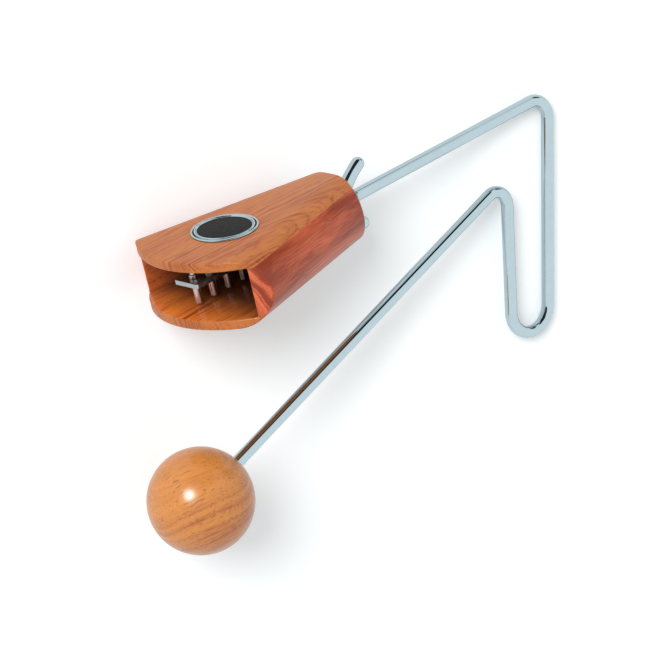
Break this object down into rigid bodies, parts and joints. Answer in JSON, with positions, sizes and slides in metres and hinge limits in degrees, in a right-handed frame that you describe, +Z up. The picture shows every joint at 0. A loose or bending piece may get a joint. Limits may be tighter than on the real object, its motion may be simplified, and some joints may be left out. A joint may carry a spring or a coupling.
{
  "type": "vibraslap",
  "caption": "Hand percussion: a bent steel rod joins a wooden ball to a tapered, open-mouthed wooden box with loose steel pins that rattle when the ball is struck.",
  "frame": {"origin": "centre of the bounding box's base, on the surface that the instrument lies on", "axes": "+X out of the sound box's open mouth, along its length; +Y from the badge face towards the ball; +Z up, with the instrument lying on its side"},
  "size_m": [0.362, 0.1855, 0.1151],
  "materials": {
    "plate_wood": "satin lacquer",
    "side_wood": "satin lacquer",
    "block_wood": "lacquer",
    "ball_wood": "gloss lacquer",
    "brass": "machined",
    "tongue_steel": "plated",
    "screw_steel": "plated",
    "badge_enamel": "gloss enamel",
    "badge_rim": "polished",
    "rod_chrome": "polished",
    "washer_steel": "plated",
    "nut_chrome": "polished",
    "pin_steel": "turned and plated"
  },
  "bodies": {
    "frame": {"rod": "rod_chrome", "ball": "ball_wood"},
    "sound_box": {"top_plate": "plate_wood", "bottom_plate": "plate_wood", "left_side": "side_wood", "right_side": "side_wood", "end_block": "block_wood", "threaded_insert": "brass", "tongue_plate": "tongue_steel", "tongue_screws": "screw_steel", "badge_plate": "badge_enamel", "badge_rim": "badge_rim"},
    "washer": {"end_washer": "washer_steel"},
    "wing_nut": {"wing_nut": "nut_chrome"},
    "pin_1": {"pin_1": "pin_steel"},
    "pin_2": {"pin_2": "pin_steel"},
    "pin_3": {"pin_3": "pin_steel"},
    "pin_4": {"pin_4": "pin_steel"},
    "pin_5": {"pin_5": "pin_steel"},
    "pin_6": {"pin_6": "pin_steel"},
    "pin_7": {"pin_7": "pin_steel"}
  },
  "joints": [
    {"name": "box_swivel", "type": "hinge", "parent": "frame", "child": "sound_box", "pos_m": [0.00036, -0.06867, 0.03827], "axis": [0.9826, 0, 0.1855], "range_deg": [-180, 180]},
    {"name": "washer_travel", "type": "slide", "parent": "frame", "child": "washer", "axis": [-0.9826, 0, -0.1855], "range_m": [0, 0.00125]},
    {"name": "wing_nut_turn", "type": "hinge", "parent": "washer", "child": "wing_nut", "pos_m": [-0.00131, -0.06867, 0.03795], "axis": [-0.9826, 0, -0.1855], "range_deg": [0, 360]},
    {"name": "pin_1_rattle", "type": "slide", "parent": "sound_box", "child": "pin_1", "axis": [0.0096, 0.9987, -0.0509], "range_m": [-0.0015, 0]},
    {"name": "pin_2_rattle", "type": "slide", "parent": "sound_box", "child": "pin_2", "axis": [0.0096, 0.9987, -0.0509], "range_m": [-0.0015, 0]},
    {"name": "pin_3_rattle", "type": "slide", "parent": "sound_box", "child": "pin_3", "axis": [0.0096, 0.9987, -0.0509], "range_m": [-0.0015, 0]},
    {"name": "pin_4_rattle", "type": "slide", "parent": "sound_box", "child": "pin_4", "axis": [0.0096, 0.9987, -0.0509], "range_m": [-0.0015, 0]},
    {"name": "pin_5_rattle", "type": "slide", "parent": "sound_box", "child": "pin_5", "axis": [0.0096, 0.9987, -0.0509], "range_m": [-0.0015, 0]},
    {"name": "pin_6_rattle", "type": "slide", "parent": "sound_box", "child": "pin_6", "axis": [0.0096, 0.9987, -0.0509], "range_m": [-0.0015, 0]},
    {"name": "pin_7_rattle", "type": "slide", "parent": "sound_box", "child": "pin_7", "axis": [0.0096, 0.9987, -0.0509], "range_m": [-0.0015, 0]}
  ],
  "couplings": [
    {"joint": "washer_travel", "follows": "wing_nut_turn", "m_per_rad": 0.00019894}
  ]
}
